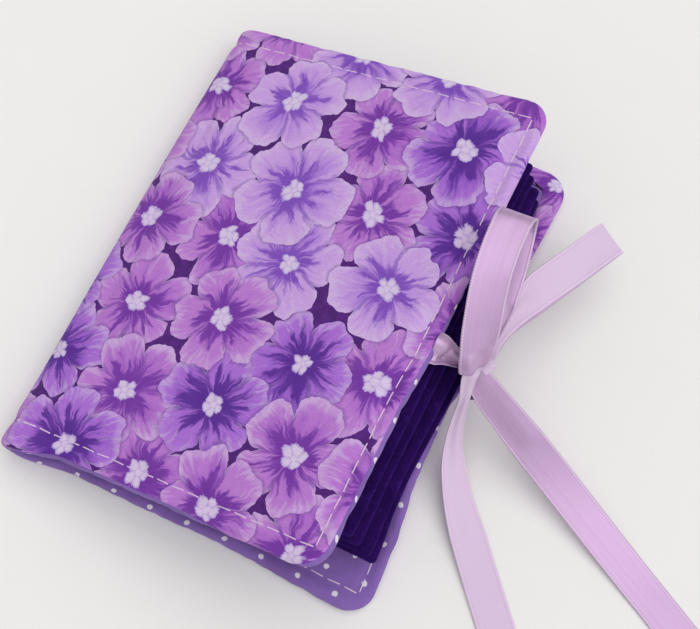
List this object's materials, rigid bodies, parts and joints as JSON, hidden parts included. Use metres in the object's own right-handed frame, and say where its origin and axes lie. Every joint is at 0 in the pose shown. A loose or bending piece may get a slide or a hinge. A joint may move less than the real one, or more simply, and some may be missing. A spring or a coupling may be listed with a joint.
{
  "type": "needle book",
  "caption": "Padded cloth needle book: lined covers folded round a soft spine, felt leaves sewn into the fold, and a ribbon on each fore-edge tied in a bow.",
  "frame": {"origin": "on the back cover's outer face, midway along the spine and midway between the back's fore-edge and the spine's outside", "axes": "+X from spine to fore-edge, +Y along the spine to the head of the book, +Z out of the back cover towards the front cover"},
  "size_m": [0.1597, 0.1137, 0.0416],
  "materials": {
    "printed_cloth": "matt printed quilting cotton, violet flowers",
    "lining_cloth": "matt plain-weave cotton, violet with white pin dots",
    "wadding": "soft cotton wadding",
    "felt": "dark violet wool felt, fuzzy",
    "sewing_thread": "pale pink sewing thread",
    "satin_ribbon": "lilac satin ribbon with a soft sheen"
  },
  "bodies": {
    "back_cover": {"back_cover_cloth": "printed_cloth", "back_cover_wadding": "wadding", "back_cover_lining": "lining_cloth", "back_topstitching": "sewing_thread", "back_tie_strand": "satin_ribbon", "back_tie_knot": "satin_ribbon", "back_tie_loop": "satin_ribbon", "back_tie_tail": "satin_ribbon"},
    "spine": {"spine_cloth": "printed_cloth", "spine_wadding": "wadding", "spine_lining": "lining_cloth", "leaf_seam": "sewing_thread", "spine_topstitching_1": "sewing_thread", "spine_topstitching_2": "sewing_thread"},
    "front_cover": {"front_cover_cloth": "printed_cloth", "front_cover_wadding": "wadding", "front_cover_lining": "lining_cloth", "front_topstitching": "sewing_thread", "front_tie_strand": "satin_ribbon", "front_tie_knot": "satin_ribbon", "front_tie_loop": "satin_ribbon", "front_tie_tail": "satin_ribbon"},
    "leaf_1": {"felt_leaf_1": "felt"},
    "leaf_2": {"felt_leaf_2": "felt"},
    "leaf_3": {"felt_leaf_3": "felt"},
    "leaf_4": {"felt_leaf_4": "felt"}
  },
  "joints": [
    {"name": "back_fold", "type": "hinge", "parent": "back_cover", "child": "spine", "pos_m": [-0.0417, 0, 0], "axis": [0, -1, 0], "range_deg": [0, 81.25]},
    {"name": "front_fold", "type": "hinge", "parent": "spine", "child": "front_cover", "pos_m": [-0.04304, 0, 0.0087], "axis": [0, -1, 0], "range_deg": [0, 81.25]},
    {"name": "leaf_1_turn", "type": "hinge", "parent": "spine", "child": "leaf_1", "pos_m": [-0.03893, 0, 0.00339], "axis": [0, -1, 0], "range_deg": [-48.75, 0]},
    {"name": "leaf_2_turn", "type": "hinge", "parent": "spine", "child": "leaf_2", "pos_m": [-0.03908, 0, 0.00436], "axis": [0, -1, 0], "range_deg": [-16.25, 0]},
    {"name": "leaf_3_turn", "type": "hinge", "parent": "spine", "child": "leaf_3", "pos_m": [-0.03923, 0, 0.00533], "axis": [0, -1, 0], "range_deg": [0, 16.25]},
    {"name": "leaf_4_turn", "type": "hinge", "parent": "spine", "child": "leaf_4", "pos_m": [-0.03938, 0, 0.0063], "axis": [0, -1, 0], "range_deg": [0, 48.75]}
  ],
  "couplings": [
    {"joint": "front_fold", "follows": "back_fold", "ratio": 1},
    {"joint": "leaf_1_turn", "follows": "back_fold", "ratio": -0.6},
    {"joint": "leaf_2_turn", "follows": "back_fold", "ratio": -0.2},
    {"joint": "leaf_3_turn", "follows": "back_fold", "ratio": 0.2},
    {"joint": "leaf_4_turn", "follows": "back_fold", "ratio": 0.6}
  ]
}
